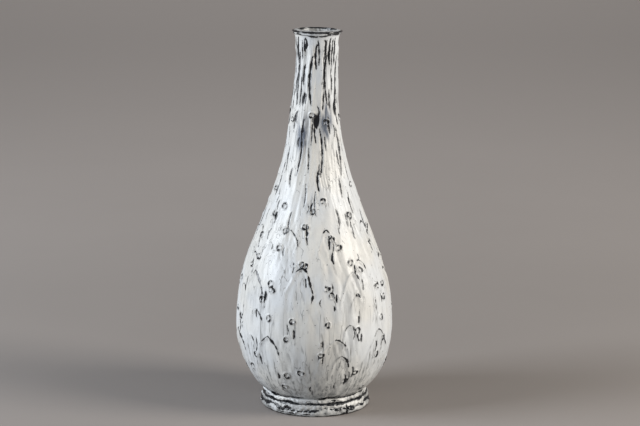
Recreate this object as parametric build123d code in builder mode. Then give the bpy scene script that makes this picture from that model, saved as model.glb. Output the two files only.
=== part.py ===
"""Bottle vase in glazed stoneware: thrown sections luted one on another, with pressed clay relief.

Millimetres, +Z up, origin at the centre of the standing face, -Y is the front.
A point of the half section is written as (radius, height).
"""

import math
import os

from build123d import *

os.makedirs("parts", exist_ok=True)

# Overall size, and the outside of the vessel: two curves that meet upright at the widest place.
height = 450.0
base_radius = 61.0
base_flare_radius = 21.4
base_flare_height = 14.1
belly_radius = 93.0
belly_height = 99.5
belly_drop = 25.0
belly_rise_share = 0.371
neck_radius = 24.8
neck_sweep_share = 0.6

# Walls and floor.
belly_thickness = 6.0
neck_thickness = 4.6
floor_thickness = 8.0
floor_inset = 11.0
floor_flat_inset = 14.0
floor_turn = 30.0
belly_drop_inside = 46.0

# Luted joints of the thrown sections, as shares of the way from the belly to the lip, and their V key.
bowl_joint_share = 0.032
belly_joint_share = 0.303
shoulder_joint_share = 0.62
joint_key_depth = 1.8
joint_key_half_width = 1.3

# Lip: a short flare at the top of the neck, an undercut, a cove, and a thin flange that falls outwards.
lip_height = 19.0
lip_root_flare = 1.7
lip_undercut = 0.8
lip_overhang = 4.8
lip_cove_height = 5.0
lip_cove_depth = 1.6
lip_fall = 1.4
lip_edge_drop = 0.9
lip_edge_width = 0.5
mouth_flare = 2.1

# Foot ring, a heavy coil with two rolls, and the collar, a thinner coil laid on it.
foot_ring_height = 15.0
foot_ring_width = 18.0
foot_bulge = 4.3
foot_edge_inset = 1.8
foot_groove_height = 9.0
foot_groove_depth = 1.0
foot_upper_roll_step = 0.4
foot_top_inset = 2.2
foot_inner_chamfer = 2.0
floor_seat_depth = 4.0
foot_seam_angle = 35.0
foot_seam_depth = 1.5
foot_seam_half_width = 0.8
collar_height = 7.5
collar_bulge = 2.0

# Film of slip that the relief is luted on with.
slip_film = 0.1

# Upright leaves in two staggered tiers on the belly.
leaf_count = 8
leaf_relief = 1.2
leaf_edge_width = 4.0
leaf_tip_width = 7.0
leaf_root_width = 10.0
leaf_swell_share = 0.1
lower_leaf_length = 74.0
lower_leaf_width = 40.0
lower_leaf_share = 0.12
upper_leaf_length = 82.0
upper_leaf_width = 38.0
upper_leaf_share = 0.285

# Round buds on the belly, the shoulder and the root of the neck.
bud_relief = 1.5
bud_radius = 4.3
bud_sides = 8
between_lower_leaf_shares = (0.1, 0.41)
between_upper_leaf_shares = (0.25, 0.34)
spiral_start_angle = 25.0
shoulder_bud_count = 18
shoulder_bud_shares = (0.46, 0.63)
neck_bud_count = 8
neck_bud_shares = (0.795, 0.825)

# Slim bowed bark ribs on the shoulder and the neck.
rib_count = 9
rib_relief = 1.2
rib_width = 3.6
rib_bow = 2.4
shoulder_rib_length = 56.0
shoulder_rib_share = 0.715
neck_rib_length = 58.0
neck_rib_share = 0.91

# How far a cutting or keeping shape runs past what it works on.
overrun = 3.0
reach_share = 0.25
halvings = 40
full_turn = 360.0
golden_turn = full_turn * (3 - math.sqrt(5)) / 2

# Heights and radii worked out from the sizes above.
base_height = foot_ring_height + collar_height
floor_height = foot_ring_height - floor_seat_depth
floor_top = floor_height + floor_thickness
neck_top_height = height - lip_height
upper_wall_height = neck_top_height - belly_height
belly_rise = belly_rise_share * upper_wall_height
neck_sweep = neck_sweep_share * upper_wall_height
bowl_joint_height = belly_height + bowl_joint_share * upper_wall_height
belly_joint_height = belly_height + belly_joint_share * upper_wall_height
shoulder_joint_height = belly_height + shoulder_joint_share * upper_wall_height
floor_radius = base_radius - floor_inset
floor_flat_radius = floor_radius - floor_flat_inset
belly_inside = belly_radius - belly_thickness
neck_inside = neck_radius - neck_thickness
foot_radius = base_radius + foot_bulge
foot_inner_radius = foot_radius - foot_ring_width
seat_slope = floor_inset / (base_height - floor_height)
seat_radius = floor_radius + seat_slope * floor_seat_depth
band_radius = belly_radius + base_radius

base_point = (base_radius, base_height)
floor_point = (floor_radius, floor_height)
seat_point = (seat_radius, foot_ring_height)
lip_radius = neck_radius + lip_overhang
lip_root = (neck_radius + lip_root_flare, height - lip_cove_height - lip_undercut)
lip_cove_bottom = (lip_radius - lip_cove_depth, height - lip_cove_height)
lip_crown = (lip_radius - lip_edge_width, height - lip_fall)
lip_edge = (lip_radius, height - lip_fall - lip_edge_drop)
lip_cove_corner = (lip_radius - lip_cove_depth, height - lip_fall - lip_edge_drop)
mouth_edge = (neck_inside + mouth_flare, height)


def outside_curves(swell):
    """Draws the outside from the foot to the top of the neck, moved out by swell."""
    Bezier(
        (base_radius + swell, base_height),
        (base_radius + base_flare_radius + swell, base_height + base_flare_height),
        (belly_radius + swell, belly_height - belly_drop),
        (belly_radius + swell, belly_height),
    )
    Bezier(
        (belly_radius + swell, belly_height),
        (belly_radius + swell, belly_height + belly_rise),
        (neck_radius + swell, neck_top_height - neck_sweep),
        (neck_radius + swell, neck_top_height),
    )


def inside_curves():
    """Draws the inside from the flat of the floor to the top of the neck."""
    Bezier(
        (floor_flat_radius, floor_top),
        (floor_flat_radius + floor_turn, floor_top),
        (belly_inside, belly_height - belly_drop_inside),
        (belly_inside, belly_height),
    )
    Bezier(
        (belly_inside, belly_height),
        (belly_inside, belly_height + belly_rise),
        (neck_inside, neck_top_height - neck_sweep),
        (neck_inside, neck_top_height),
    )


def lip_curves():
    """Draws the lip from the outside of the neck, over the flange and down into the mouth."""
    Bezier((neck_radius, neck_top_height), (neck_radius, height - lip_height / 2), lip_root)
    Line(lip_root, lip_cove_bottom)
    Bezier(lip_cove_bottom, lip_cove_corner, lip_edge)
    Polyline(lip_edge, lip_crown, mouth_edge, (neck_inside, neck_top_height))


with BuildLine(Plane.XZ) as outside_line:
    outside_curves(0)
outside = outside_line.wires()[0]

with BuildLine(Plane.XZ) as inside_line:
    inside_curves()
inside = inside_line.wires()[0]

# Half section of the whole wall, with the floor and the lip.
with BuildSketch(Plane.XZ) as wall:
    with BuildLine():
        outside_curves(0)
        lip_curves()
        inside_curves()
        Polyline((floor_flat_radius, floor_top), (0, floor_top), (0, floor_height), floor_point, base_point)
    make_face()


def radius_at(curve, level):
    """Gives the radius of an upright curve at a height, found by halving."""
    low = 0.0
    high = 1.0
    for _ in range(halvings):
        middle = (low + high) / 2
        if (curve @ middle).Z < level:
            low = middle
        else:
            high = middle
    return (curve @ high).X


def joint_line(level):
    """Gives the line of a luted joint from the axis outwards, with its V in the middle of the wall."""
    middle = (radius_at(outside, level) + radius_at(inside, level)) / 2
    return [
        (0, level),
        (middle - joint_key_half_width, level),
        (middle, level - joint_key_depth),
        (middle + joint_key_half_width, level),
        (band_radius, level),
    ]


def flat_line(level):
    """Gives a plain line from the axis outwards, past the end of the wall."""
    return [(0, level), (band_radius, level)]


def thrown_section(bottom_line, top_line):
    """Turns the stretch of the wall that lies between two lines."""
    with BuildPart() as section:
        with BuildSketch(Plane.XZ):
            add(wall.sketch_local)
            with BuildLine():
                Polyline(*bottom_line, *reversed(top_line), close=True)
            make_face(mode=Mode.INTERSECT)
        revolve(axis=Axis.Z)
    return section


# Thrown sections, from the floor to the lip.
lower_bowl = thrown_section(flat_line(0), joint_line(bowl_joint_height))
belly_wall = thrown_section(joint_line(bowl_joint_height), joint_line(belly_joint_height))
shoulder_wall = thrown_section(joint_line(belly_joint_height), joint_line(shoulder_joint_height))
neck_tube = thrown_section(joint_line(shoulder_joint_height), flat_line(height + overrun))

# Foot ring: two rolls with a groove between them, a seat for the bowl, and the butt seam of the coil.
foot_bottom = (foot_radius - foot_edge_inset, 0)
foot_waist = (foot_radius - foot_groove_depth, foot_groove_height)
foot_top = (foot_radius - foot_top_inset, foot_ring_height)
foot_upper_side = (foot_radius - foot_upper_roll_step, (foot_groove_height + foot_ring_height) / 2)
with BuildPart() as foot_ring:
    with BuildSketch(Plane.XZ):
        with BuildLine():
            ThreePointArc(foot_bottom, (foot_radius, foot_groove_height / 2), foot_waist)
            ThreePointArc(foot_waist, foot_upper_side, foot_top)
            Polyline(
                foot_top,
                seat_point,
                floor_point,
                (foot_inner_radius, floor_height),
                (foot_inner_radius, foot_inner_chamfer),
                (foot_inner_radius + foot_inner_chamfer, 0),
                foot_bottom,
            )
        make_face()
    revolve(axis=Axis.Z)
    with BuildSketch(Plane.XY.rotated((0, 0, foot_seam_angle))):
        with BuildLine():
            Polyline(
                (0, foot_seam_depth - foot_radius),
                (foot_seam_half_width, -foot_radius - overrun),
                (-foot_seam_half_width, -foot_radius - overrun),
                close=True,
            )
        make_face()
    extrude(amount=foot_ring_height, mode=Mode.SUBTRACT)

# Foot collar: a half-round bead in the corner between the foot ring and the bowl.
with BuildPart() as foot_collar:
    with BuildSketch(Plane.XZ):
        with BuildLine():
            Polyline(base_point, seat_point, (base_radius, foot_ring_height))
            ThreePointArc(
                (base_radius, foot_ring_height),
                (base_radius + collar_bulge, foot_ring_height + collar_height / 2),
                base_point,
            )
        make_face()
    revolve(axis=Axis.Z)


def skin(relief):
    """Makes the layer of clay on the outside, relief thick, that an ornament is kept within."""
    top = slip_film + relief
    with BuildPart() as layer:
        with BuildSketch(Plane.XZ):
            with BuildLine():
                outside_curves(slip_film)
                outside_curves(top)
                Line((base_radius + slip_film, base_height), (base_radius + top, base_height))
                Line((neck_radius + slip_film, neck_top_height), (neck_radius + top, neck_top_height))
            make_face()
        revolve(axis=Axis.Z)
    return layer.part


leaf_skin = skin(leaf_relief)
bud_skin = skin(bud_relief)
rib_skin = skin(rib_relief)


def surface_plane(share, angle):
    """Gives the plane that touches the outside at a share of its length, at an angle from the front.

    Its x runs round the vase to the right, its y up along the wall and its z straight out.
    """
    place = outside @ share
    upward = outside % share
    around = Vector(0, 1, 0)
    turn = angle - full_turn / 4
    return Plane(
        origin=place.rotate(Axis.Z, turn),
        x_dir=around.rotate(Axis.Z, turn),
        z_dir=around.cross(upward).rotate(Axis.Z, turn),
    )


def tier(piece, count):
    """Sets count copies of a piece evenly round the vase."""
    return [piece.rotate(Axis.Z, index * full_turn / count) for index in range(count)]


def leaf(share, angle, length, width):
    """Makes the first leaf of a tier: its raised edge, bowed from a narrow root to a pointed tip."""
    root_right = (leaf_root_width / 2, -length / 2)
    root_left = (-leaf_root_width / 2, -length / 2)
    tip = (0, length / 2)
    inner_tip = (0, length / 2 - leaf_tip_width)
    swell_height = -leaf_swell_share * length
    inner_width = width - 2 * leaf_edge_width
    with BuildPart() as pressed:
        with BuildSketch(surface_plane(share, angle)):
            with BuildLine():
                ThreePointArc(root_right, (width / 2, swell_height), tip)
                ThreePointArc(tip, (-width / 2, swell_height), root_left)
                ThreePointArc(root_left, (-inner_width / 2, swell_height), inner_tip)
                ThreePointArc(inner_tip, (inner_width / 2, swell_height), root_right)
            make_face()
        extrude(amount=length * reach_share, both=True)
        add(leaf_skin, mode=Mode.INTERSECT)
    return pressed.part


def bud(share, angle):
    """Makes a round bud at a share of the outside's length."""
    with BuildPart() as pellet:
        with BuildSketch(surface_plane(share, angle)):
            RegularPolygon(bud_radius, bud_sides)
        extrude(amount=overrun, both=True)
        add(bud_skin, mode=Mode.INTERSECT)
    return pellet.part


def bud_spiral(count, shares):
    """Sets count buds up the wall on a golden spiral, as seeds grow."""
    start, end = shares
    buds = []
    for index in range(count):
        share = start + (end - start) * index / (count - 1)
        buds.append(bud(share, spiral_start_angle + index * golden_turn))
    return buds


def rib(share, angle, length, lean):
    """Makes the first rib of a tier: a slim crescent, bowed to the side that lean gives."""
    foot = (0, -length / 2)
    tip = (0, length / 2)
    with BuildPart() as crescent:
        with BuildSketch(surface_plane(share, angle)):
            with BuildLine():
                ThreePointArc(foot, (lean * rib_bow, 0), tip)
                ThreePointArc(tip, (lean * (rib_bow + rib_width), 0), foot)
            make_face()
        extrude(amount=length * reach_share, both=True)
        add(rib_skin, mode=Mode.INTERSECT)
    return crescent.part


# Leaves and the buds between them: the two tiers are half a step apart, clear of the exact front.
leaf_step = full_turn / leaf_count
lower_angle = leaf_step / 4
upper_angle = lower_angle + leaf_step / 2
rib_step = full_turn / rib_count
with BuildPart() as lower_leaves:
    add(tier(leaf(lower_leaf_share, lower_angle, lower_leaf_length, lower_leaf_width), leaf_count))
with BuildPart() as upper_leaves:
    add(tier(leaf(upper_leaf_share, upper_angle, upper_leaf_length, upper_leaf_width), leaf_count))
with BuildPart() as belly_buds:
    for share in between_lower_leaf_shares:
        add(tier(bud(share, upper_angle), leaf_count))
    for share in between_upper_leaf_shares:
        add(tier(bud(share, lower_angle), leaf_count))

# Buds and ribs further up.
with BuildPart() as shoulder_buds:
    add(bud_spiral(shoulder_bud_count, shoulder_bud_shares))
with BuildPart() as neck_buds:
    add(bud_spiral(neck_bud_count, neck_bud_shares))
with BuildPart() as shoulder_ribs:
    add(tier(rib(shoulder_rib_share, rib_step / 4, shoulder_rib_length, 1), rib_count))
with BuildPart() as neck_ribs:
    add(tier(rib(neck_rib_share, rib_step * 3 / 4, neck_rib_length, -1), rib_count))

pieces = {
    "foot_ring": foot_ring,
    "foot_collar": foot_collar,
    "lower_bowl": lower_bowl,
    "belly_wall": belly_wall,
    "shoulder_wall": shoulder_wall,
    "neck_tube": neck_tube,
    "lower_leaves": lower_leaves,
    "upper_leaves": upper_leaves,
    "belly_buds": belly_buds,
    "shoulder_buds": shoulder_buds,
    "neck_buds": neck_buds,
    "shoulder_ribs": shoulder_ribs,
    "neck_ribs": neck_ribs,
}
for name, piece in pieces.items():
    piece.part.label = name
    export_step(piece.part, f"parts/{name}.step")
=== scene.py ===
# %% [markdown]
# # A tall bottle vase in glazed stoneware
# The vase is thrown in four sections that are luted one on another, and it stands on two clay coils.
# Pressed leaves, ring buds and bark furrows cover it. A white glaze runs over a black slip, and the
# black shows wherever the glaze broke or drew back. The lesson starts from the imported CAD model: it
# fixes every size and place, so the surfaces made below only have to follow it.

# %% Load the frame
import math

import bpy
import numpy as np
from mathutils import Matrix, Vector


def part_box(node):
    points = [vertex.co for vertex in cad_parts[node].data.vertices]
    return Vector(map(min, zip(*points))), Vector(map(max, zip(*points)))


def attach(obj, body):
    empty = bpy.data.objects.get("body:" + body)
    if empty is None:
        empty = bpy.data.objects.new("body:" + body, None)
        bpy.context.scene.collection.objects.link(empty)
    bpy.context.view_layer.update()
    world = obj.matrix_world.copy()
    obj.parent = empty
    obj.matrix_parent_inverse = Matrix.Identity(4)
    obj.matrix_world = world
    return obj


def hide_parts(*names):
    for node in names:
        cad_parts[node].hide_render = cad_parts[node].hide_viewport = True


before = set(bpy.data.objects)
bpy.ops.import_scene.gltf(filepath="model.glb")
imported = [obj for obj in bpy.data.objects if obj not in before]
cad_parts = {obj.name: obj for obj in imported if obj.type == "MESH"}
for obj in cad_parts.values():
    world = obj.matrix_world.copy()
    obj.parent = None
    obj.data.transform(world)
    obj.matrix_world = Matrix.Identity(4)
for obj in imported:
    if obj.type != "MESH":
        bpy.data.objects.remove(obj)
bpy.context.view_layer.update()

# %% [markdown]
# ## The outline
# A thrown pot is a profile carried round an axis. The profile could be drawn as a curve object and
# spun, but the pressed relief needs a dense, even grid that can be pushed in and out. So the outline is
# kept as numbers: two smooth curves for the wall, then the short curves of the lip. A place on the pot
# is then two numbers, the angle round it and the length along the clay from the foot. Sizes that the
# CAD nodes show are read from the frame. The handles of the curves are written here in millimetres.

# %% Sizes of the vase
mm = 0.001


def half_width_and_top(node):
    """The half width and the top of a CAD node, in millimetres."""
    low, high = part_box(node)
    return (high.x - low.x) / 2 / mm, high.z / mm


foot_radius, foot_top = half_width_and_top("foot_ring")
collar_radius, collar_top = half_width_and_top("foot_collar")
belly_radius, bowl_joint = half_width_and_top("lower_bowl")
belly_joint = half_width_and_top("belly_wall")[1]
shoulder_joint = half_width_and_top("shoulder_wall")[1]
height = half_width_and_top("neck_tube")[1]

collar_bulge = 2.0
base_radius = collar_radius - collar_bulge
belly_height = 99.5
neck_radius = 24.8
lip_height = 19.0
neck_top = height - lip_height
belly_thickness = 6.0
neck_thickness = 4.6
belly_inside = belly_radius - belly_thickness
neck_inside = neck_radius - neck_thickness
floor_under = 11.0
floor_over = 19.0
floor_radius = 50.0
floor_flat = 36.0
belly_rise = 123.0
neck_sweep = 199.0
print(f"height {height:.1f} mm, belly {2 * belly_radius:.1f} mm, foot {2 * foot_radius:.1f} mm")

# %% Curves as rows of points
curve_points = 600


def bezier(points, count=curve_points):
    """A Bezier curve: its points weighted by the binomial terms of t and 1 - t."""
    t = np.linspace(0.0, 1.0, count)[:, None]
    degree = len(points) - 1
    terms = [math.comb(degree, k) * t**k * (1 - t) ** (degree - k) for k in range(degree + 1)]
    return sum(term * np.array(point) for term, point in zip(terms, points))


def round_through(start, middle, end, count=60):
    """An arc through three points, on the circle whose centre is equally far from all of them."""
    a, m, b = np.array([start, middle, end])
    centre = np.linalg.solve(2 * np.array([m - a, b - a]), [m @ m - a @ a, b @ b - a @ a])
    across, up = (np.array([a, m, b]) - centre).T
    first, _, last = np.unwrap(np.arctan2(up, across))
    angle = np.linspace(first, last, count)
    return centre + math.dist(a, centre) * np.stack([np.cos(angle), np.sin(angle)], axis=1)


def joined(*stretches):
    """Stretches of points end to end, with the shared end points kept once."""
    return np.vstack([stretches[0]] + [stretch[1:] for stretch in stretches[1:]])


def straight(*points, step=0.25):
    """Straight runs from point to point, with a sample about every step millimetres."""
    counts = [max(2, int(math.dist(a, b) / step)) for a, b in zip(points, points[1:])]
    return joined(*(np.linspace(a, b, n) for a, b, n in zip(points, points[1:], counts)))


def lengths(path):
    """The length along a path at each of its points, from its first."""
    return np.concatenate([[0.0], np.cumsum(np.hypot(*np.diff(path, axis=0).T))])


print("a curve has", curve_points, "points")

# %% Outline and inner wall
flare_out, flare_up = 21.4, 14.1
belly_sink = 25.0
inner_floor_reach = 30.0
inner_belly_sink = 46.0

lower_curve = [
    (base_radius, collar_top),
    (base_radius + flare_out, collar_top + flare_up),
    (belly_radius, belly_height - belly_sink),
    (belly_radius, belly_height),
]
upper_curve = [
    (belly_radius, belly_height),
    (belly_radius, belly_height + belly_rise),
    (neck_radius, neck_top - neck_sweep),
    (neck_radius, neck_top),
]
lip_root = (neck_radius + 1.7, height - 5.8)
cove_bottom = (neck_radius + 3.2, height - 5.0)
lip_edge = (neck_radius + 4.8, height - 2.3)
crown = (neck_radius + 4.3, height - 1.4)
mouth_edge = (neck_radius - 2.5, height)
lip_path = joined(
    bezier([(neck_radius, neck_top), (neck_radius, height - lip_height / 2), lip_root], count=60),
    straight(lip_root, cove_bottom),
    bezier([cove_bottom, (cove_bottom[0], lip_edge[1]), lip_edge], count=40),
    straight(lip_edge, crown, mouth_edge, (neck_inside, neck_top)),
)
outline = joined(bezier(lower_curve), bezier(upper_curve), lip_path)
outline_length = lengths(outline)

inner_floor = [(floor_flat, floor_over), (floor_flat + inner_floor_reach, floor_over)]
inner_belly = [(belly_inside, belly_height - inner_belly_sink), (belly_inside, belly_height)]
inner_rise = [(belly_inside, belly_height), (belly_inside, belly_height + belly_rise)]
inner_neck = [(neck_inside, neck_top - neck_sweep), (neck_inside, neck_top)]
inline = joined(bezier(inner_floor + inner_belly), bezier(inner_rise + inner_neck))
print(f"outline {outline_length[-1]:.1f} mm long, from the foot into the throat")

# %% Finding places on the outline
wall_points = 2 * curve_points - 1
wall_length = outline_length[wall_points - 1]


def length_at_height(z):
    """How far along the outside of the wall a height lies."""
    return np.interp(z, outline[:wall_points, 1], outline_length[:wall_points])


def length_near(point):
    """How far along the outline the place nearest to a point lies."""
    return outline_length[np.argmin(np.hypot(*(outline - np.array(point)).T))]


def on_outline(s):
    """Radius, height and the outward normal at each length s along the outline."""
    slope = np.gradient(outline, outline_length, axis=0)
    values = (*outline.T, *slope.T)
    radius, level, along_r, along_z = (np.interp(s, outline_length, value) for value in values)
    size = np.hypot(along_r, along_z)
    return radius, level, along_z / size, -along_r / size


bowl_length, belly_length, shoulder_length = length_at_height([bowl_joint, belly_joint, shoulder_joint])
print(f"joints at {bowl_length:.0f}, {belly_length:.0f} and {shoulder_length:.0f} of {wall_length:.0f} mm")

# %% [markdown]
# ## The relief as one field
# On the real vase the leaves, rings and furrows are one clay skin under one glaze. They could be
# separate meshes laid on the wall, but their edges would show. Instead every mark adds its own formula
# to a relief field over the grid. The same pass fills a second field, the distance to the nearest dark
# line, which the glaze reads later to know where it is black. Three more say where the glaze is grey,
# from thin glaze and from painted shade in hollows, creases and low on the belly, where black pooled,
# and where a blue-grey wash lies.

# %% The formulas that marks are made of
full_turn = 2 * math.pi


def angles(columns):
    """The angle of each column of the grid, from the front round to the right."""
    return np.arange(columns) * full_turn / columns


def turn_from(theta, angle):
    """The way round from an angle, at most half a turn to either side."""
    return (theta - angle + math.pi) % full_turn - math.pi


def smooth_step(value, low, high):
    """Rises from 0 at low to 1 at high along 3t^2 - 2t^3."""
    t = np.clip((value - low) / (high - low), 0.0, 1.0)
    return t * t * (3 - 2 * t)


def window(value, low, full, fade, high):
    """Rises from 0 at low to 1 at full, stays, and falls from fade to 0 at high."""
    return smooth_step(value, low, full) * (1 - smooth_step(value, fade, high))


def bell(value, width):
    """A bump of height 1: e to the minus (value / width) squared."""
    return np.exp(-((value / width) ** 2))


def waves(s, theta, cycles, spans, seed, count=10):
    """Sines with a whole number of cycles round the vase, each with its own span up it; mean square 1."""
    draw = np.random.default_rng(seed)
    turns = draw.integers(cycles[0], cycles[1] + 1, count)
    rises = full_turn / draw.uniform(spans[0], spans[1], count) * draw.choice([-1, 1], count)
    phases = draw.uniform(0, full_turn, count)
    angle = turns * theta[None, :, None] + rises * s[:, None, None] + phases
    return np.sin(angle).sum(axis=2) * math.sqrt(2 / count)


print("smooth_step goes", smooth_step(np.linspace(0, 1, 5), 0, 1))

# %% The skin
far_line = 6.0


class Skin:
    """The fields over rows of lengths s and columns of angles: relief and line in mm, and three masks."""

    def __init__(self, s, columns):
        self.s = s
        self.theta = angles(columns)
        self.radius = on_outline(s)[0]
        shape = (len(s), columns)
        self.line = np.full(shape, far_line)
        self.relief, self.thin, self.pool, self.wash = np.zeros((4, *shape))

    def near(self, angle, place, reach, side):
        """The grid points within reach up and side across of a place, and each one's way across and up."""
        turn = turn_from(self.theta, angle)
        rows = np.arange(*np.searchsorted(self.s, [place - reach, place + reach]))
        spots = np.flatnonzero(np.abs(turn) * self.radius.min() < side)
        across = self.radius[rows][:, None] * turn[spots]
        up = self.s[rows][:, None] - place
        return np.ix_(rows, spots), across, up

    def draw_line(self, spots, distance):
        """Keeps the nearer of the lines so far and a new one, as a distance to its edge."""
        self.line[spots] = np.minimum(self.line[spots], distance)

    def add_grey_and_shade(self, spots, amount):
        """Greys the glaze at least by an amount from 0 to 1, for thin glaze and for painted shade."""
        self.thin[spots] = np.maximum(self.thin[spots], amount)

    def waves(self, cycles, spans, seed, count=10):
        """A sum of sines over the whole skin."""
        return waves(self.s, self.theta, cycles, spans, seed, count)


print("plain from", far_line, "mm off a line")

# %% [markdown]
# ## Leaves, rings and furrows
# A pressed leaf is a lancet: its half width grows from the root, is widest near the middle, and closes
# round the tip. Its rim stands up and fades away downwards, its inside is a shallow hollow greyed with
# painted shade, and the glaze leaves a broken dark line round the tip, longer on the right. A ring is a
# small bank round a dimple, black on a part of its circle. A furrow is a tapering groove with a bank beside
# it.

# %% Leaf
leaf_reach, leaf_side = 0.65, 0.85
rim_width = 1.7
rim_relief = 0.7
rim_rise = (0.35, 0.75)
root_rim = 0.1
hollow_relief = 0.3
hollow_painted_shade = 0.25
hollow_opening = (0.05, 0.4)
hollow_slope = (0.5, 4.5)
trough_offset = 1.1
trough_width = 0.9
trough_wear = 0.6
edge_wobble, wobble_length = 0.8, 4.3
line_start, start_swing, start_fade = 0.84, 0.09, 0.1
right_reach, right_swing = 0.22, 0.16
line_weight, right_weight = 0.25, 0.65
fine_beads, fine_bead_length = 0.4, 1.2
broad_beads, broad_bead_length = 0.5, 2.9
undrawn_gap = 1.5
root_power = 0.7
outline_samples = 90
outline_shares = 1 - np.linspace(0.999, 0, outline_samples) ** 2


def press_leaf(skin, angle, place, length, width, lean, tip_power, strength, phase):
    """A lancet: half width = width / 2 times t^0.7 (1 - t)^p over its peak, with t from root to tip.
    A point's edge is its distance to the nearest sample of the outline, taken as negative inside."""
    spots, across, up = skin.near(angle, place, leaf_reach * length, leaf_side * width)
    across = across - lean * up
    t = outline_shares
    widest = root_power / (root_power + tip_power)
    peak = widest**root_power * (1 - widest) ** tip_power
    half = width / 2 * t**root_power * (1 - t) ** tip_power / peak
    gaps = np.hypot(np.abs(across)[..., None] - half, up[..., None] - (t - 0.5) * length)
    along = t[gaps.argmin(axis=2)]
    share = up / length + 0.5
    edge = gaps.min(axis=2) * np.where(np.abs(across) < np.interp(share, t, half, 0, 0), -1, 1)
    edge += edge_wobble * np.sin(along * length / wobble_length + 3 * phase)

    hollow = smooth_step(share, *hollow_opening) * smooth_step(-edge, *hollow_slope)
    upper = root_rim + (1 - root_rim) * smooth_step(share, *rim_rise)
    rim = upper * bell(edge, rim_width)
    skin.relief[spots] += strength * (rim_relief * rim - hollow_relief * hollow)
    trough = upper * bell(edge - trough_offset, trough_width)
    # The grey in the hollow is painted shade.
    skin.add_grey_and_shade(spots, strength * np.maximum(hollow_painted_shade * hollow, trough_wear * trough))

    right = 0.5 + 0.5 * np.tanh(across / 2)
    start = line_start + start_swing * math.sin(2 * phase)
    start = start - (right_reach + right_swing * math.sin(phase)) * right
    drawn = smooth_step(along, start, start + start_fade)
    uneven = fine_beads * np.sin(along * length / fine_bead_length + phase)
    uneven += broad_beads * np.sin(along * length / broad_bead_length + 2 * phase)
    weight = strength * (line_weight + right_weight * right + uneven) * drawn
    skin.draw_line(spots, np.abs(edge - trough_offset) - weight + undrawn_gap * (1 - drawn))


print("a leaf's outline has", outline_samples, "samples on each side")

# %% Ring
ring_relief = 0.8
ring_bank = 1.0
ring_reach = 2.6
dimple_share = 0.6
dimple_wear = 0.45
ring_line = 0.9


def press_ring(skin, angle, place, size, weight, open_side, phase):
    """A bank at radius size (1 + cos 2a / 9) round a dimple. Its line is as heavy as
    0.35 + 0.65 cos (a - open_side) + 0.55 cos 3a, and breaks where that is below 0."""
    spots, across, up = skin.near(angle, place, ring_reach * size, ring_reach * size)
    reach = np.hypot(across, up)
    turn = np.arctan2(up, across)
    circle = size * (1 + np.cos(2 * turn + phase) / 9)
    dimple = dimple_share * bell(reach, dimple_share * size)
    skin.relief[spots] += ring_relief * (bell(reach - circle, ring_bank) - dimple)
    skin.add_grey_and_shade(spots, dimple_wear * bell(reach, size))
    drawn = 0.35 + 0.65 * np.cos(turn - open_side) + 0.55 * np.cos(3 * turn + phase)
    skin.draw_line(spots, np.abs(reach - ring_line * circle) - weight * drawn)


print("a ring stands", ring_relief, "mm proud")

# %% Furrow
bank_gap = 1.5
bank_height = 1.1
groove_softness = 0.5
end_power = 0.4
ragged_share = 0.3
ragged_length = 1.9
faint_gap = 0.25
side_margin = 8
end_margin = 4


def cut_furrow(skin, angle, place, half_length, half_width, bow, lean, bank_side, relief, dark):
    """A groove along x = lean y + bow (1 - y^2), as wide as (1 - y^2)^0.4, with a bank on one side."""
    side = abs(bow) + abs(lean) * half_length + half_width + side_margin
    spots, across, up = skin.near(angle, place, half_length + end_margin, side)
    taper = np.clip(1 - (up / half_length) ** 2, 0, None)
    across = across - lean * up - bow * taper
    bank = bank_side * (half_width + bank_gap)
    groove = bank_height * bell(across - bank, bank_gap) - bell(across, half_width + groove_softness)
    skin.relief[spots] += relief * taper * groove
    ragged = ragged_share * taper * np.sin(up / ragged_length + 7 * angle)
    half = half_width * (dark * taper**end_power + ragged)
    beyond = np.maximum(np.abs(up) - half_length, 0)
    skin.draw_line(spots, np.hypot(across, beyond) - half + faint_gap * (1 - dark))


print("a furrow's bank stands", bank_gap, "mm beside it")

# %% [markdown]
# ## Where the marks sit
# The tiers stand where the CAD solids are, with a hand's small errors in angle, size and lean. Between
# them, more rings and furrows are spread so that none lies close above another: the angle and the
# length step on by the powers of the plastic number, which never fall into rows. Seeded draws vary the
# rest, so the script gives the same vase each time. Furrows are long and close on the neck, shorter on
# the shoulder, and only dashes on the belly. Black pools lie at the root of the neck, blue-grey washes
# below them, and grey runs near the foot.

# %% The hand and an even spread
hand = np.random.default_rng(41)
plastic = 1.3247
spread_steps = (1 / plastic, 1 / plastic**2)


def slip(size):
    """A small error of the hand, at most size either way."""
    return hand.uniform(-size, size)


def any_turn():
    """Any angle, drawn by the hand."""
    return hand.uniform(0, full_turn)


def spread(index, shares):
    """The index-th place of an even spread over the wall: an angle, and a length between two shares."""
    start, end = shares
    around, up = (index * step % 1.0 for step in spread_steps)
    return around * full_turn, (start + (end - start) * up) * wall_length


print("the spread steps on by", np.round(spread_steps, 3))

# %% Plan of the leaves
leaf_count = 8
leaf_step = full_turn / leaf_count
lower_angle = leaf_step / 4
upper_angle = lower_angle + leaf_step / 2
small_leaf_count = 16
small_leaf_turn = 0.35
small_leaf_strength = 0.85


def leaf_tier(first_angle, share, length, width, strength):
    """One leaf in each step round the vase, as the arguments of press_leaf."""
    return [
        (
            first_angle + i * leaf_step + slip(0.07),
            share * wall_length + slip(5.0),
            length * hand.uniform(0.88, 1.04),
            width * hand.uniform(0.85, 1.05),
            slip(0.1),
            hand.uniform(0.64, 0.88),
            strength * hand.uniform(0.75, 1.1),
            any_turn(),
        )
        for i in range(leaf_count)
    ]


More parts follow.
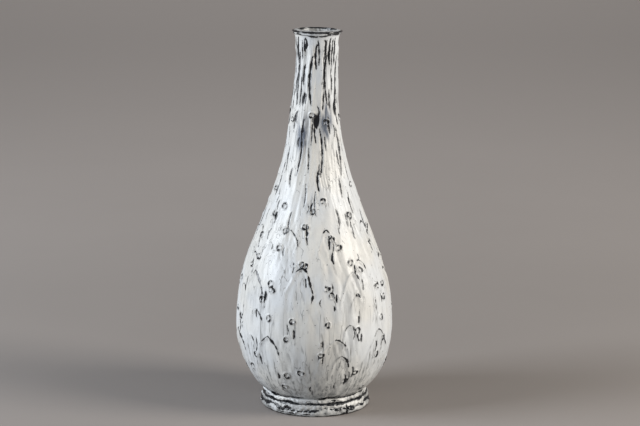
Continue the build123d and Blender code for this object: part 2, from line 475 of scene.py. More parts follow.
leaves = leaf_tier(lower_angle, share=0.12, length=74.0, width=38.0, strength=1.0)
leaves += leaf_tier(upper_angle, share=0.285, length=82.0, width=36.0, strength=0.95)
leaves += leaf_tier(lower_angle + 0.1, share=0.43, length=62.0, width=24.0, strength=0.55)
for i in range(small_leaf_count):
    angle, place = spread(i, (0.1, 0.42))
    length = hand.uniform(34.0, 52.0)
    lean, tip_power, phase = slip(0.12), hand.uniform(0.6, 0.8), any_turn()
    at = (angle + small_leaf_turn, place)
    leaves.append((*at, length, length / 2, lean, tip_power, small_leaf_strength, phase))
print(len(leaves), "leaves")

# %% Plan of the rings
golden_angle = full_turn * (3 - math.sqrt(5)) / 2
spiral_start = math.radians(25)
extra_ring_count = 64
extra_ring_turn = 0.9


def ring_at(angle, place):
    """A ring near a place, as the arguments of press_ring."""
    at = (angle + slip(0.03), place + slip(3.0))
    return (*at, hand.uniform(2.9, 3.8), hand.uniform(0.75, 1.0), any_turn(), any_turn())


def ring_spiral(count, start, step):
    """Rings a golden angle apart, each a step further up the wall, as seeds grow."""
    places = [(start + step * i) * wall_length for i in range(count)]
    return [ring_at(spiral_start + i * golden_angle, place) for i, place in enumerate(places)]


rings = []
for i in range(leaf_count):
    rings += [ring_at(upper_angle + i * leaf_step, share * wall_length) for share in (0.1, 0.41)]
    rings += [ring_at(lower_angle + i * leaf_step, share * wall_length) for share in (0.25, 0.34)]
rings += ring_spiral(count=18, start=0.46, step=0.01)
rings += ring_spiral(count=8, start=0.795, step=0.03 / 7)
for i in range(extra_ring_count):
    angle, place = spread(i, (0.03, 0.58))
    rings.append(ring_at(angle + extra_ring_turn, place))
print(len(rings), "rings")

# %% Plan of the furrows
furrow_end = length_near(lip_root) - 3.5
rib_count = 9
rib_bow = 3.0
# Each row: how many, between which shares of the wall, half lengths, half widths, relief, darkness
furrow_fields = [
    (40, (0.77, 0.96), (7.0, 18.0), (0.5, 1.3), 0.5, 1.0),
    (34, (0.98, 1.03), (5.0, 17.0), (0.5, 1.5), 0.5, 1.0),
    (60, (0.5, 0.79), (6.0, 15.0), (0.45, 0.95), 0.42, 1.0),
    (80, (0.05, 0.54), (3.5, 8.5), (0.6, 1.15), 0.35, 1.0),
    (90, (0.03, 0.6), (3.0, 8.0), (0.3, 0.5), 0.3, 0.8),
]


def furrow_field(count, shares, half_lengths, half_widths, relief, dark):
    """Furrows spread evenly round the vase and up it, none past the lip, each with its own shape."""
    field = []
    for i in range(count):
        angle, place = spread(i, shares)
        half_length = hand.uniform(*half_lengths)
        place = min(place + slip(4.0), furrow_end + slip(1.5) - half_length)
        half_width, bow, lean = hand.uniform(*half_widths), slip(2.0), slip(0.07)
        bank_side, weight = hand.choice([-1, 1]), dark * hand.uniform(0.75, 1.1)
        at = (angle + slip(0.12), place)
        field.append((*at, half_length, half_width, bow, lean, bank_side, relief, weight))
    return field


def rib_furrow(step, share, half_length, half_width, side, relief, dark):
    """The long furrow beside a CAD rib, bowed towards its bank, as the arguments of cut_furrow."""
    at = (step * full_turn / rib_count, share * wall_length)
    return (*at, half_length, half_width, rib_bow * side, slip(0.03), side, relief, dark)


furrows = []
for i in range(rib_count):
    furrows.append(rib_furrow(i + 0.25, 0.715, 28.0, 1.0, side=1, relief=0.55, dark=0.9))
    furrows.append(rib_furrow(i + 0.75, 0.91, 29.0, 1.3, side=-1, relief=0.6, dark=1.0))
for field in furrow_fields:
    furrows += furrow_field(*field)
print(len(furrows), "furrows")

# %% Plan of the pools, washes and runs
pool_count = 7
wash_count = 5
run_count = 80
run_wear = 1.7
pool_sizes = (1.6, 1.0, 1.3)
pool_turn, pool_start, pool_step = 0.05, 0.8, 0.012
wash_turn, wash_drop = 0.5, 16.0
pools = []
for i in range(pool_count):
    angle, place = pool_turn + i * golden_angle, (pool_start + pool_step * i) * wall_length
    pools.append((angle, place, pool_sizes[i % len(pool_sizes)]))
washes = [(angle - wash_turn, place - wash_drop) for angle, place, _ in pools[:wash_count]]
grey_runs = []
for i in range(run_count):
    angle, place = spread(i, (0.0, 0.12))
    grey_runs.append((angle, place, hand.uniform(12.0, 34.0), hand.uniform(0.6, 1.3), slip(0.05)))
print(len(pools), "black pools,", len(washes), "washes and", len(grey_runs), "grey runs")

# %% [markdown]
# ## Bark, creases and dark edges
# Between the marks, ridges run up the clay like bark, and patches of fine creases catch the light; their
# hollows are greyed with painted shade. A bump in the shader would leave the outline too even, so sums of
# sines push the clay itself. Where the glaze drew back from an edge, an uneven dark line goes all the way
# round; the line under the lip is partly that and partly painted shadow of the flange.

# %% Bark and creases
belly_bark = 0.2
neck_bark = 0.3
uneven_throwing = 0.4
small_lumps = 0.06
bark_change = (190, 310)
crease_relief = 0.1
crease_painted_shade = 0.5
crease_fade = (230, 330)


def bark(skin):
    """Sums of sines: ridges, broad on the belly and slim on the neck, uneven throwing and small lumps."""
    neckward = smooth_step(skin.s, *bark_change)[:, None]
    skin.relief += belly_bark * skin.waves((18, 40), (260, 800), seed=5) * (1 - neckward)
    skin.relief += neck_bark * skin.waves((9, 20), (220, 700), seed=6) * neckward
    skin.relief += uneven_throwing * skin.waves((1, 4), (90, 260), seed=7)
    skin.relief += small_lumps * skin.waves((25, 60), (30, 80), seed=8, count=14)


def crease(skin):
    """A fine sum of sines times a patchy one, fading towards the neck, with painted shade in its hollows.
    """
    patches = smooth_step(skin.waves((3, 9), (50, 120), seed=32), -0.8, 1.0)
    patches *= 1 - smooth_step(skin.s, *crease_fade)[:, None]
    folds = patches * skin.waves((45, 100), (14, 45), seed=31, count=16)
    skin.relief += crease_relief * folds
    # Painted shade in the hollows of the creases.
    skin.add_grey_and_shade(slice(None), crease_painted_shade * smooth_step(-folds, 0.3, 1.6))


print("bark on the belly:", belly_bark, "mm")

# %% Dark edges
# Each row: place along the outline, half width, how uneven it is, how far it wanders
edge_lines = [
    (-0.6, 0.6, 0.6, 0.0),
    # The line under the lip is partly painted shadow of the flange.
    (length_near(lip_root) + 0.9, 0.75, 0.5, 1.3),
    (length_near(lip_edge) + 0.7, 2.2, 0.25, 0.0),
    (length_near(mouth_edge) + 0.6, 1.0, 0.6, 0.0),
]


def draw_edges(skin):
    """Uneven dark lines round the foot's corner, the undercut, the rim's outer edge and the mouth."""
    for seed, (place, half_width, uneven, wander) in enumerate(edge_lines, 9):
        broken = uneven * skin.waves((2, 11), (60, 90), seed, count=6)
        drift = wander * skin.waves((1, 4), (300, 400), seed + 20, count=5)
        skin.draw_line(slice(None), np.abs(skin.s[:, None] - place - drift) - half_width - broken)


print(len(edge_lines), "dark edges")

# %% Runs, pools and washes
run_side = 8
run_fade = 6
pool_reach, pool_side = 20, 14
pool_width, pool_height = 2.8, 7.0
pool_lean = 0.12
pool_depth = 0.7
wash_reach, wash_side = 50, 20
wash_width, wash_height = 7.0, 20.0


def pour_glaze(skin):
    """Grey runs are bells across, faded at their ends. Pools and washes are oval bells."""
    for angle, place, half_length, width, lean in grey_runs:
        spots, across, up = skin.near(angle, place, half_length, run_side)
        ends = smooth_step(half_length - np.abs(up), 0, run_fade)
        skin.add_grey_and_shade(spots, run_wear * ends * bell(across - lean * up, width))
    for angle, place, size in pools:
        spots, across, up = skin.near(angle, place, pool_reach * size, pool_side * size)
        patch = bell(across - pool_lean * up, pool_width * size) * bell(up, pool_height * size)
        skin.pool[spots] = np.maximum(skin.pool[spots], patch)
        skin.relief[spots] -= pool_depth * patch
    for angle, place in washes:
        spots, across, up = skin.near(angle, place, wash_reach, wash_side)
        patch = bell(across, wash_width) * bell(up, wash_height)
        skin.wash[spots] = np.maximum(skin.wash[spots], patch)


print("a pool is sunk by", pool_depth, "mm")

# %% The whole relief
# The glaze greys towards the foot: partly thin glaze, partly painted shade under the belly.
low_grey_and_painted_shade = 0.75
low_grey_and_shade_end = 85
lip_wear = 0.95
lip_wear_range = length_near(lip_edge) + np.array([-1, 2])


def press_relief(s, columns):
    """All marks together on one skin."""
    skin = Skin(s, columns)
    for press, marks in ((press_leaf, leaves), (press_ring, rings), (cut_furrow, furrows)):
        for mark in marks:
            press(skin, *mark)
    pour_glaze(skin)
    bark(skin)
    crease(skin)
    # Greyer towards the foot, partly as painted shade.
    skin.add_grey_and_shade(slice(None), low_grey_and_painted_shade * smooth_step(-s[:, None], -low_grey_and_shade_end, 0))
    skin.add_grey_and_shade(slice(None), lip_wear * smooth_step(s[:, None], *lip_wear_range))
    draw_edges(skin)
    return skin


print(len(leaves) + len(rings) + len(furrows), "marks to press")

# %% [markdown]
# ## From a grid to a mesh
# Each section is a closed ring of clay: up the outside, across the joint, down the inside and back. The
# grid wraps round the vase, so its last column joins the first and leaves no seam. The bowl also closes
# on the axis, over and under the floor, with one point at each pole. A UV map unrolls the ring and cuts it
# into strips that lie one above another, so that a bake of the glaze is about as fine across as up. The
# fields ride along as attributes of the points.

# %% The lean, and the unrolled map
lean_top = 2.4
lean_middle = 2.1
spare_rows = 4


def leaning(level):
    """The hand-thrown lean to the side: a cubic drift at the top and a half wave in the middle."""
    share = level / height
    return lean_top * share**3 - lean_middle * np.sin(math.pi * share)


def unrolled(row, column, first_column, shape, strips):
    """UV places of the grid: the ring is cut into strips, with a few spare rows above each."""
    rows, columns = shape
    strip = first_column * strips // columns
    across = column * strips / columns - strip
    up = (strip + row / (rows + spare_rows)) / strips
    return np.stack([across, up], axis=-1).reshape(-1, 2)


print("the lean at the top is", round(float(leaning(height)), 2), "mm")

# %% Caps on the axis
under_cap = np.array([[1.5, 0.5, 0.5], [0.5, 1.0, 0.0]])
over_cap = np.array([[2.0, 2.0, 3.0], [0.0, 1.0, 0.5]])


def axis_caps(level, strips):
    """A pole on the axis at the first row's level and one at the last row's, a triangle from each pole to
    every step of its row, and the triangles' UV places in the spare rows."""
    rows, columns = level.shape
    poles = np.array([[0.0, 0.0, level[0].mean()], [0.0, 0.0, level[-1].mean()]])
    poles[:, 0] = leaning(poles[:, 2])
    here = np.arange(columns)
    there = (here + 1) % columns
    last = (rows - 1) * columns
    under, over = (np.full(columns, rows * columns + pole) for pole in (0, 1))
    faces = np.stack([under, there, here], axis=1).tolist()
    faces += np.stack([last + here, last + there, over], axis=1).tolist()
    column = here[:, None]
    uv = [unrolled(rows + r, column + c, column, level.shape, strips) for r, c in (under_cap, over_cap)]
    return poles, faces, np.vstack(uv)


print("both caps lie in", spare_rows, "spare rows of the map")

# %% Mesh from rows of radii and heights
rim_tilt = 0.02
tilt_power = 8
sharp_angle = math.radians(48)
quad_rows, quad_columns = np.array([[0, 0, 1, 1], [0, 1, 1, 0]])


def put_in_scene(name, data):
    """A new object with its data, linked into the scene."""
    placed = bpy.data.objects.new(name, data)
    bpy.context.scene.collection.objects.link(placed)
    return placed


def turned_mesh(name, radius, level, closed, fields, strips):
    """Rows of rings: x = r sin a + lean, y = -r cos a, z = level less the rim's tilt. The last row joins
    the first if closed, and otherwise both end rows close on the axis."""
    rows, columns = radius.shape
    aside, towards = radius * np.sin(angles(columns)), radius * np.cos(angles(columns))
    tilted = level - rim_tilt * (level / height) ** tilt_power * aside
    points = np.stack([aside + leaning(level), -towards, tilted], axis=2).reshape(-1, 3)
    row, column = np.meshgrid(np.arange(rows if closed else rows - 1), np.arange(columns), indexing="ij")
    corner_row = row[..., None] + quad_rows
    corner_column = column[..., None] + quad_columns
    faces = (corner_row % rows * columns + corner_column % columns).reshape(-1, 4).tolist()
    uv = unrolled(corner_row, corner_column, column[..., None], radius.shape, strips)
    if not closed:
        poles, cap_faces, cap_uv = axis_caps(level, strips)
        points, uv = np.vstack([points, poles]), np.vstack([uv, cap_uv])
        faces += cap_faces

    mesh = bpy.data.meshes.new(name)
    mesh.from_pydata((points * mm).tolist(), [], faces)
    mesh.uv_layers.new(name="OFBake").uv.foreach_set("vector", uv.astype(np.float32).ravel())
    for field, values in fields.items():
        flat = values.ravel() if closed else np.append(values.ravel(), values[[0, -1], 0])
        mesh.attributes.new(field, "FLOAT", "POINT").data.foreach_set("value", flat.astype(np.float32))
    mesh.shade_smooth()
    mesh.set_sharp_from_angle(angle=sharp_angle)
    print(name, "has", len(mesh.polygons), "faces")
    return put_in_scene(name, mesh)


print("edges sharper than", round(math.degrees(sharp_angle)), "degrees stay crisp")

# %% [markdown]
# ## The four thrown sections
# The relief is worked out on each section's own rows, from the same marks, so it runs on across the
# joints. The glaze hides the luted joints, so neighbours share their edge. The inside is plain: nothing
# is pressed there, and only its last stretch shows through the mouth. The rows lie about as close as the
# columns, because a line drawn on long thin cells would break into beads.

# %% Section builder
wall_columns = 720
shoulder_draw_in = 1.3
shoulder_window = (150, 220, 295, 345)
neck_draw_in = 0.8
neck_window = (345, 390, wall_length - 10, wall_length)
lip_hold = 0.85
lip_hold_reach = 6
plain_fields = {"line": far_line, "thin": 0.25, "pool": 0.0, "wash": 0.0}


def inside_rows(low, high, count):
    """Rows of the plain inner wall, from the upper height down to the lower one."""
    level = np.linspace(high, low, count)
    return np.interp(level, inline[:, 1], inline[:, 0]), level


def with_ends(before, grid, after):
    """A grid with plain rows before and after it, each with one value all the way round."""
    columns = grid.shape[1]
    ends = [np.repeat(np.array(rows, float)[:, None], columns, axis=1) for rows in (before, after)]
    return np.vstack([ends[0], grid, ends[1]])


def wall_piece(name, s, after, before=([], []), closed=True, columns=wall_columns, strips=2):
    """A section: the outline at the lengths s, pushed along its normal by the relief less the draw-in of
    the shoulder and neck, most of which the lip holds back. Plain rows of (radius, height) go before and
    after it."""
    skin = press_relief(s, columns)
    radius, level, out_r, out_z = on_outline(s)
    held = 1 - lip_hold * smooth_step(s, wall_length - lip_hold_reach, wall_length + lip_hold_reach)
    drawn_in = shoulder_draw_in * window(s, *shoulder_window) + neck_draw_in * window(s, *neck_window)
    push = (skin.relief - drawn_in[:, None]) * held[:, None]
    radius = with_ends(before[0], radius[:, None] + out_r[:, None] * push, after[0])
    level = with_ends(before[1], level[:, None] + out_z[:, None] * push, after[1])
    fields = {}
    for field, plain in plain_fields.items():
        first, last = ([plain] * len(rows[0]) for rows in (before, after))
        fields[field] = with_ends(first, getattr(skin, field), last)
    return turned_mesh(name, radius, level, closed, fields, strips)


print("plain glaze has the fields", plain_fields)

# %% Bowl, belly and shoulder
bowl_rows, belly_rows, shoulder_rows = 116, 118, 124
floor_rows, inner_rows = 14, 9
thrown_bowl = wall_piece(
    "thrown_bowl",
    np.linspace(0, bowl_length, bowl_rows),
    after=inside_rows(floor_over, bowl_joint, floor_rows),
    before=([floor_radius], [floor_under]),
    closed=False,
)
thrown_belly = wall_piece(
    "thrown_belly",
    np.linspace(bowl_length, belly_length, belly_rows),
    after=inside_rows(bowl_joint, belly_joint, inner_rows),
)
thrown_shoulder = wall_piece(
    "thrown_shoulder",
    np.linspace(belly_length, shoulder_length, shoulder_rows),
    after=inside_rows(belly_joint, shoulder_joint, inner_rows),
)

# %% [markdown]
# ## Neck and lip
# The lip is thrown in one with the neck and turned out over a fine undercut. The neck is slim, so it
# needs fewer columns and closer rows. The glaze drew back from the rim's outer edge and from the mouth's
# inner edge, so each of these carries an uneven black line; the black line in the undercut is partly that
# and partly painted shadow of the flange.

# %% Neck section
neck_columns = 480
neck_rows = np.linspace(shoulder_length, wall_length, num=150)
lip_rows = np.linspace(wall_length, outline_length[-1], num=50)[1:]
thrown_neck = wall_piece(
    "thrown_neck",
    np.concatenate([neck_rows, lip_rows]),
    after=inside_rows(shoulder_joint, neck_top, count=6),
    columns=neck_columns,
    strips=1,
)

# %% [markdown]
# ## The foot
# Two coils carry the vase: a heavy foot ring with two rolls, and a thinner collar in the corner above it.
# A Bezier tube along a circle would be too even, so each coil is its half section carried round the
# axis, with its groove wandering up and down and its rolls swelling into lumps. The ring's ends meet in
# a butt seam at the front right. Its standing face stays flat, on the table, in dark bare clay that is
# partly painted contact shadow. The glaze ran off the rolls and left black in the grooves. The black along
# the ring's bottom edge is partly painted contact shadow, and the foot's grey, darker lower down, is partly
# dirt and partly painted shade.

# %% Butt seam
seam_angle = math.radians(35)
seam_bend, seam_bend_length = 0.5, 1.6
seam_window = (0.03, 0.15, 0.45, 0.8)
seam_bank, seam_bank_gap, seam_bank_width = 0.6, 2.4, 1.3
seam_depth, seam_width, seam_black = 1.2, 0.9, 1.1


def butt_seam(theta, places):
    """A bell-shaped groove with a bank on its right, gaping low on the ring, along a line that bends as a
    sine: how far it moves the surface, and the distance to its black edge."""
    bend = seam_bend * np.sin(places / seam_bend_length)[:, None]
    beside = foot_radius * turn_from(theta, seam_angle)[None, :] + bend
    gaping = window(places[:, None] / places[-1], *seam_window)
    bank = seam_bank * bell(beside - seam_bank_gap, seam_bank_width)
    push = gaping * (bank - seam_depth * bell(beside, seam_width))
    return push, np.abs(beside) - seam_black * gaping


print("the seam is", seam_depth, "mm deep")

# %% Coil builder
coil_rows = 44
coil_strips = 4
fine_lumps = 0.3
# The foot's grey, darker lower down, is partly dirt and partly painted shade.
dirt_and_shade_below, dirt_and_shade_uneven, dirt_and_shade_fall = 0.9, 0.35, 0.04
bare_height = 0.4


def resampled(path, count):
    """A path at even steps of its length: points, and the length of each from the start."""
    along = lengths(path)
    places = np.linspace(0, along[-1], count)
    return np.stack([np.interp(places, along, path[:, axis]) for axis in (0, 1)], axis=1), places


def coil(name, shown, hidden, dark_bands, wander, swell, seed, seam):
    """A half section carried round: its shown rows wander up by sin^2 of their share and swell outwards.
    A dark band is its share of the shown rows, the half width of its dark line, and how uneven that is."""
    theta = angles(wall_columns)
    rows, places = resampled(shown, coil_rows)
    loose = np.sin(math.pi * places / places[-1])[:, None] ** 2
    lumps = swell * waves(places, theta, (3, 22), (18, 60), seed)
    lumps += fine_lumps * waves(places, theta, (24, 80), (5, 16), seed + 5, count=14)
    drift = wander * waves(places, theta, (2, 18), (40, 90), seed + 1, count=9)
    radius = rows[:, :1] + loose * lumps
    level = rows[:, 1:] + loose * drift
    line = np.full(radius.shape, far_line)
    for place, half_width, uneven in dark_bands:
        own_seed = seed + 2 + int(20 * place)
        broken = uneven * waves(places, theta, (2, 26), (12, 60), own_seed, count=12)
        line = np.minimum(line, np.abs(places[:, None] - place * places[-1]) - half_width - broken)
    if seam:
        push, seam_line = butt_seam(theta, places)
        radius += push
        line = np.minimum(line, seam_line)
    back_radius, back_level = zip(*hidden)
    radius, level = with_ends([], radius, back_radius), with_ends([], level, back_level)
    uneven = dirt_and_shade_uneven * waves(level[:, 0], theta, (1, 7), (30, 80), seed + 4)
    fields = {
        "line": with_ends([], line, [far_line] * len(hidden)),
        "bare": (level < bare_height).astype(float),
        # Grey of dirt and painted shade, darker lower down.
        "thin": np.clip(dirt_and_shade_below + uneven - dirt_and_shade_fall * level, 0, 1),
    }
    return turned_mesh(name, radius, level, True, fields, coil_strips)


print("a coil shows", coil_rows, "rows")

# %% Foot ring
seat_slope = (base_radius - floor_radius) / (collar_top - floor_under)
seat = (floor_radius + seat_slope * (foot_top - floor_under), foot_top)
foot_bottom = (foot_radius - 1.8, 0.0)
lower_roll = (foot_radius, 4.5)
foot_waist = (foot_radius - 1.6, 9.0)
upper_roll = (foot_radius - 1.4, 12.0)
foot_shoulder = (foot_radius - 3.4, foot_top)
foot_tuck = (base_radius - 1.5, foot_top)
ring_width = 18.0
ring_chamfer = 2.0
foot_inner = foot_radius - ring_width
ring_section = joined(
    round_through(foot_bottom, lower_roll, foot_waist),
    round_through(foot_waist, upper_roll, foot_shoulder),
    straight(foot_shoulder, foot_tuck),
)
ring_back = [
    seat,
    (floor_radius, floor_under),
    (foot_inner, floor_under),
    (foot_inner, ring_chamfer),
    (foot_inner + ring_chamfer, 0.0),
]
foot_coil = coil(
    "foot_coil",
    ring_section,
    ring_back,
    # The band at share 0.0, along the bottom edge, is partly painted contact shadow.
    dark_bands=[(0.0, 1.7, 0.8), (0.22, -0.6, 0.9), (0.45, 1.4, 0.9), (0.86, 1.7, 0.6)],
    wander=0.8, swell=0.6, seed=11, seam=True,
)

# %% Collar
collar_drop = 2.0
collar_tuck = (base_radius - 1.6, foot_top)
collar_low = (base_radius - 0.8, foot_top)
collar_high = (base_radius - seat_slope * collar_drop, collar_top - collar_drop)
collar_side = (base_radius + 0.4, (collar_low[1] + collar_high[1]) / 2)
collar_section = joined(
    straight(collar_tuck, collar_low),
    round_through(collar_low, collar_side, collar_high),
)
collar_coil = coil(
    "collar_coil",
    collar_section,
    [seat],
    dark_bands=[(0.08, 1.2, 0.6), (0.98, 0.45, 0.7), (0.5, -0.9, 0.8)],
    wander=0.6, swell=0.4, seed=21, seam=False,
)

# %% [markdown]
# ## Shader maths as Python
# A glaze is mostly arithmetic on masks: this far from a line, plus some noise, over a threshold. Wiring
# each sum by hand hides the idea, so one small class wraps a socket and lets Python's operators add the
# Math nodes. Any other node comes from its one method, which takes the node's type, settings and inputs.


# %% A socket that can be reckoned with
class Wire:
    """A value in a node tree. Operators add Math nodes, and node() adds any other."""

    def __init__(self, tree, socket=None):
        self.tree = tree
        self.socket = socket

    def node(self, kind, settings, inputs, output=0):
        """Adds a node, sets its settings, then sets or links its inputs; gives the chosen output."""
        made = self.tree.nodes.new(kind)
        for name, value in settings.items():
            setattr(made, name, value)
        self.feed(made, inputs)
        return Wire(self.tree, made.outputs[output])

    def feed(self, node, inputs):
        """Links wires to a node's inputs, and sets plain values there."""
        for key, value in inputs.items():
            if isinstance(value, Wire):
                self.tree.links.new(value.socket, node.inputs[key])
            else:
                node.inputs[key].default_value = value

    def math(self, operation, first, second=0.0):
        """A Math node on two values, each a wire or a number."""
        return self.node("ShaderNodeMath", {"operation": operation}, {0: first, 1: second})

    def __add__(self, other):
        return self.math("ADD", self, other)

    __radd__ = __add__

    def __sub__(self, other):
        return self.math("SUBTRACT", self, other)

    def __rsub__(self, other):
        return self.math("SUBTRACT", other, self)

    def __mul__(self, other):
        return self.math("MULTIPLY", self, other)

    __rmul__ = __mul__

    def most(self, other):
        """The larger of two values."""
        return self.math("MAXIMUM", self, other)

    def step(self, low, high):
        """Rises smoothly from 0 at low to 1 at high; falls if low is the larger."""
        inputs = {"Value": self, "From Min": min(low, high), "From Max": max(low, high)}
        risen = self.node("ShaderNodeMapRange", {"interpolation_type": "SMOOTHSTEP"}, inputs)
        return risen if low < high else 1 - risen

    def attribute(self, name):
        """A field that was stored on the mesh."""
        return self.node("ShaderNodeAttribute", {"attribute_name": name}, {}, "Fac")

    def place(self, scale=(1.0, 1.0, 1.0)):
        """The piece's own coordinates in metres, stretched by a scale."""
        spot = self.node("ShaderNodeTexCoord", {}, {}, "Object")
        return self.node("ShaderNodeMapping", {}, {"Vector": spot, "Scale": scale})

    def noise(self, spot, size, detail=3.0):
        """Noise from about 0.3 to 0.7 whose features are about size millimetres wide."""
        inputs = {"Vector": spot, "Scale": 1 / (size * mm), "Detail": detail}
        return self.node("ShaderNodeTexNoise", {"noise_dimensions": "3D"}, inputs, "Fac")

    def blend(self, mask, under, over):
        """A colour: under where the mask is 0, over where it is 1."""
        return self.node("ShaderNodeMix", {"data_type": "RGBA"}, {0: mask, 6: under, 7: over}, 2)


print("operators on a wire add Math nodes")


# %% New material
def new_finish(name):
    """A material with its Principled shader, and a wire to reckon with in its tree."""
    finish = bpy.data.materials.new(name)
    finish.use_nodes = True
    return finish, finish.node_tree.nodes["Principled BSDF"], Wire(finish.node_tree)


print("a new material starts with one Principled shader")

# %% [markdown]
# ## White glaze over black slip
# The white is not one white: thick glaze is creamy in places and cool in others, thin glaze is grey where
# the slip shines through, and grey runs come down the lower belly. Painted shade greys the leaf hollows,
# the creases, the low belly and the foot. Black breaks out along the lines with a torn edge, so noise is
# added to the distance before the threshold. Hairlines come from a noise that is stretched upwards: they
# lie where it crosses its middle value. The glaze is a satin, softly uneven like orange peel, and glossier
# where it is black.

# %% Colours and gloss
cool_white = (0.77, 0.785, 0.80, 1)
warm_white = (0.80, 0.785, 0.75, 1)
# The grey of thin glaze, also used as the colour of painted shade.
thin_grey = (0.31, 0.31, 0.305, 1)
wash_blue = (0.15, 0.172, 0.215, 1)
slip_black = (0.012, 0.013, 0.016, 1)
# Dark bare clay, partly painted contact shadow at the standing face.
bare_clay_and_contact_shade = (0.10, 0.085, 0.07, 1)
run_stretch = (1.0, 1.0, 0.12)
grain_stretch = (1.0, 1.0, 0.05)
satin, black_gloss, clay_dullness = 0.42, 0.17, 0.45
print("thin glaze reflects", thin_grey[0], "of the light")


# %% Glaze
def glaze(name, masks, tear, dirt_and_shade, flatten):
    """The white glaze. Masks says which stored fields the piece has, tear how ragged its lines are, the
    argument after tear how grey its thin glaze and its painted shade are, and flatten how far the tears are
    drawn out level."""
    finish, shader, wire = new_finish(name)
    spot, runs, grain = wire.place(), wire.place(run_stretch), wire.place(grain_stretch)
    line = wire.attribute("line")
    # How grey the glaze is, from thin glaze and from painted shade, as stored on the mesh.
    thin = wire.attribute("thin")

    # Black: the lines with their torn edges, and a few specks
    torn = wire.noise(wire.place((1.0, 1.0, flatten)), 3.2, 2.0) - 0.5
    ragged = line + 1.2 * tear * (wire.noise(spot, 1.1) - 0.5) + 1.7 * tear * torn
    speck = wire.noise(spot, 2.4, 1.0).step(0.745, 0.78)
    black = ragged.step(0.5, 0.0).most(0.8 * speck)

    # Grey: streaks, drips and hairlines, a halo beside the lines, and thin glaze and painted shade in
    # patches
    streak = wire.noise(runs, 5.0).step(0.44, 0.66)
    drip = wire.noise(grain, 3.0).step(0.49, 0.6)
    ridge = wire.noise(grain, 7.0, 2.0)
    hair = ridge.step(0.48, 0.5) * ridge.step(0.52, 0.5) * wire.noise(runs, 16, 2.0).step(0.46, 0.58)
    halo = (line + 3.0 * torn).step(2.4, -0.4)
    grey = 0.3 * halo + 0.12 * streak + 0.95 * hair
    grey = grey + thin * (dirt_and_shade + 0.25 * streak + 0.65 * drip) * wire.noise(spot, 14).step(0.25, 0.6)

    # Colour: two whites, then grey, blue, black and clay over them
    white = wire.blend(wire.noise(spot, 60).step(0.38, 0.62), cool_white, warm_white)
    shade = wire.blend(grey, white, thin_grey)
    if "wash" in masks:
        washed = 1.8 * wire.attribute("wash") * wire.noise(runs, 4.0).step(0.25, 0.58)
        shade = wire.blend(washed, shade, wash_blue)
    if "pool" in masks:
        pooled = wire.attribute("pool") + 0.9 * (wire.noise(runs, 1.6) - 0.5)
        black = black.most(pooled.step(0.4, 0.62))
    shade = wire.blend(black, shade, slip_black)
    rough = satin - black_gloss * black + 0.12 * (wire.noise(spot, 9, 2.0) - 0.5)
    if "bare" in masks:
        bare = wire.attribute("bare").step(0.3, 0.7)
        # The standing face: bare clay, partly painted contact shadow.
        shade = wire.blend(bare, shade, bare_clay_and_contact_shade)
        rough = rough + clay_dullness * bare

    # Orange peel, with the black lying a little lower than the white
    peel = wire.noise(spot, 2.6, 2.0) + 0.35 * wire.noise(spot, 0.8, 2.0) - 0.5 * black
    peel_inputs = {"Strength": 0.35, "Distance": 0.4 * mm, "Height": peel}
    bump = wire.node("ShaderNodeBump", {}, peel_inputs, "Normal")
    wire.feed(shader, {"Base Color": shade, "Roughness": rough, "Normal": bump})
    wire.feed(shader, {"Coat Weight": 0.15, "Coat Roughness": 0.24})
    print(name, "has", len(finish.node_tree.nodes), "nodes")
    return finish


wall_glaze = glaze("white_over_black_glaze", ("wash", "pool"), tear=1.1, dirt_and_shade=0.3, flatten=1.0)
# The foot's stronger grey is partly dirt and partly painted shade.
foot_glaze = glaze("foot_glaze_with_bare_standing_face", ("bare",), tear=2.0, dirt_and_shade=0.85, flatten=3.0)

# %% [markdown]
# ## Pieces and the CAD nodes they stand for
# Every piece is fixed, so all of them ride on the one body. A section's skin already holds the relief
# pressed into it, so it stands for the wall node and for the relief nodes that lie on that wall.

# %% Hand the pieces to the frame
plan = [
    (thrown_bowl, wall_glaze, "white_glaze", ("lower_bowl", "lower_leaves")),
    (thrown_belly, wall_glaze, "white_glaze", ("belly_wall", "upper_leaves", "belly_buds")),
    (thrown_shoulder, wall_glaze, "white_glaze", ("shoulder_wall", "shoulder_buds", "shoulder_ribs")),
    (thrown_neck, wall_glaze, "white_glaze", ("neck_tube", "neck_buds", "neck_ribs")),
    (foot_coil, foot_glaze, "foot_glaze", ("foot_ring",)),
    (collar_coil, foot_glaze, "foot_glaze", ("foot_collar",)),
]
for piece, finish, slot_name, nodes in plan:
    piece.data.materials.append(finish)
    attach(piece, "root")
    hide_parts(*nodes)
print(len(plan), "pieces stand for", sum(len(nodes) for *_, nodes in plan), "nodes")

# %% [markdown]
# ## The studio
# A pale floor sweeps up into the backdrop in one curve, so no horizon cuts the picture. The curve starts
# flat and bends more and more, because a round bend would begin with a visible crease. The paper is
# painted darker near the vase, paler further back and darker again where it rises towards the light:
# painted shade and painted light that even out the fall of the light. It bounces less than it shows, so
# that the underside of the belly stays in shade: a Light Path node tells the rays that are seen from those
# that only carry light.

# %% Floor and backdrop
sweep_front = -9.0
sweep_half_width = 9.0
sweep_curve = [(1.0, 0.0), (1.9, 0.0), (2.6, 0.0), (3.2, 0.25), (3.3, 1.2), (3.3, 3.2)]

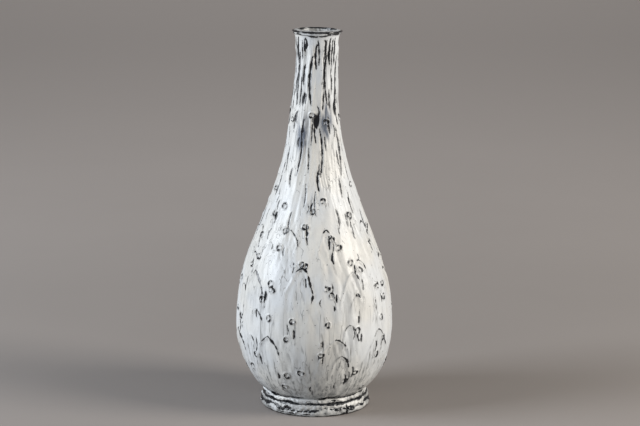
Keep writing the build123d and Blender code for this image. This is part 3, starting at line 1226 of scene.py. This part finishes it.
sweep_y, sweep_z = joined([(sweep_front, 0.0), sweep_curve[0]], bezier(sweep_curve, count=48)).T
rows = np.arange(len(sweep_y) - 1)
sweep_x = np.repeat([-sweep_half_width, sweep_half_width], len(sweep_y))
sweep_points = np.stack([sweep_x, np.tile(sweep_y, 2), np.tile(sweep_z, 2)], axis=1)
sweep_faces = np.stack([rows, rows + len(sweep_y), rows + len(sweep_y) + 1, rows + 1], axis=1)
sweep_mesh = bpy.data.meshes.new("studio_sweep")
sweep_mesh.from_pydata(sweep_points.tolist(), [], sweep_faces.tolist())
sweep_mesh.shade_smooth()
sweep = put_in_scene("studio_sweep", sweep_mesh)
print("the sweep runs from y =", sweep_front, "to", sweep_curve[-1][0], "m")

# %% Paper
# Painted light and shade: the paper's colour stands in for the fall of the light.
near_paper_painted_shade = (0.275, 0.248, 0.233, 1)
far_paper_painted_light = (0.73, 0.66, 0.62, 1)
raised_paper_painted_shade = (0.56, 0.506, 0.476, 1)
paper_bounce = (0.26, 0.255, 0.25, 1)
paler_from, paler_to = 0.1, 2.0
raised_from, raised_to = -0.05, 0.2
cloud_share = 0.1
seen_ways = ("Is Camera Ray", "Is Glossy Ray", "Is Transmission Ray")

paper, paper_shader, wire = new_finish("pale_studio_paper")
spot = wire.place()
depth, rise = (wire.node("ShaderNodeSeparateXYZ", {}, {"Vector": spot}, axis) for axis in "YZ")
cloud = wire.noise(spot, 400) - 0.5
paper_seen = wire.blend(depth.step(paler_from, paler_to) + cloud_share * cloud, near_paper_painted_shade, far_paper_painted_light)
paper_seen = wire.blend(rise.step(raised_from, raised_to), paper_seen, raised_paper_painted_shade)
seen = sum(wire.node("ShaderNodeLightPath", {}, {}, way) for way in seen_ways)
paper_colour = wire.blend(seen.step(0.2, 0.8), paper_bounce, paper_seen)
wire.feed(paper_shader, {"Base Color": paper_colour, "Roughness": 0.9})
sweep_mesh.materials.append(paper)
print("the paper has", len(paper.node_tree.nodes), "nodes")

# %% [markdown]
# ## Light
# Two tall soft lights stand left and right of the vase, a little in front of it, the left one cooler and
# the right one warmer. They leave the middle of the vase slightly darker, which shows its roundness. The
# world adds an even fill.

# %% Lights and world
lit_middle = (0, 0, 0.24)


def soft_light(name, place, size, power, colour):
    """An upright area lamp at a place, turned to face the middle of the vase."""
    lamp = bpy.data.lights.new(name, "AREA")
    lamp.shape = "RECTANGLE"
    lamp.size, lamp.size_y = size
    lamp.energy = power
    lamp.color = colour
    holder = put_in_scene(name, lamp)
    holder.location = place
    x, y, z = np.array(lit_middle) - np.array(place)
    holder.rotation_euler = (math.atan2(math.hypot(x, y), -z), 0, math.atan2(-x, y))


left_place, right_place = (-1.9, -0.48, 1.05), (1.85, -0.62, 1.05)
soft_light("left_soft_light", left_place, size=(0.9, 1.5), power=48.5, colour=(0.885, 0.94, 1.0))
soft_light("right_soft_light", right_place, size=(0.8, 1.5), power=47, colour=(1.0, 0.965, 0.905))
world = bpy.data.worlds.new("studio_world")
world.use_nodes = True
fill = world.node_tree.nodes["Background"]
Wire(world.node_tree).feed(fill, {"Color": (0.9, 0.92, 0.95, 1), "Strength": 0.15})
bpy.context.scene.world = world
bpy.context.scene.view_settings.view_transform = "Standard"
print("lights:", [item.name for item in bpy.data.lights])

# %% [markdown]
# ## Camera
# The photograph was taken from above the middle of the vase with a long lens. The camera's place was
# worked out from the vase's outline and from the ellipses of the rim and the foot: the flatter an
# ellipse, the closer the camera is to its level.

# %% Camera
camera_place = (0.0055, -2.124, 0.6594)
camera_pitch = math.radians(11.38)
lens = bpy.data.cameras.new("photo_camera")
lens.lens = 102.9
lens.sensor_width = 36.0
lens.sensor_fit = "HORIZONTAL"
camera = put_in_scene("photo_camera", lens)
camera.location = camera_place
camera.rotation_euler = (math.pi / 2 - camera_pitch, 0, 0)
bpy.context.scene.camera = camera
print("camera looks down", round(math.degrees(camera_pitch), 2), "degrees")

# %% The end
bpy.context.view_layer.update()
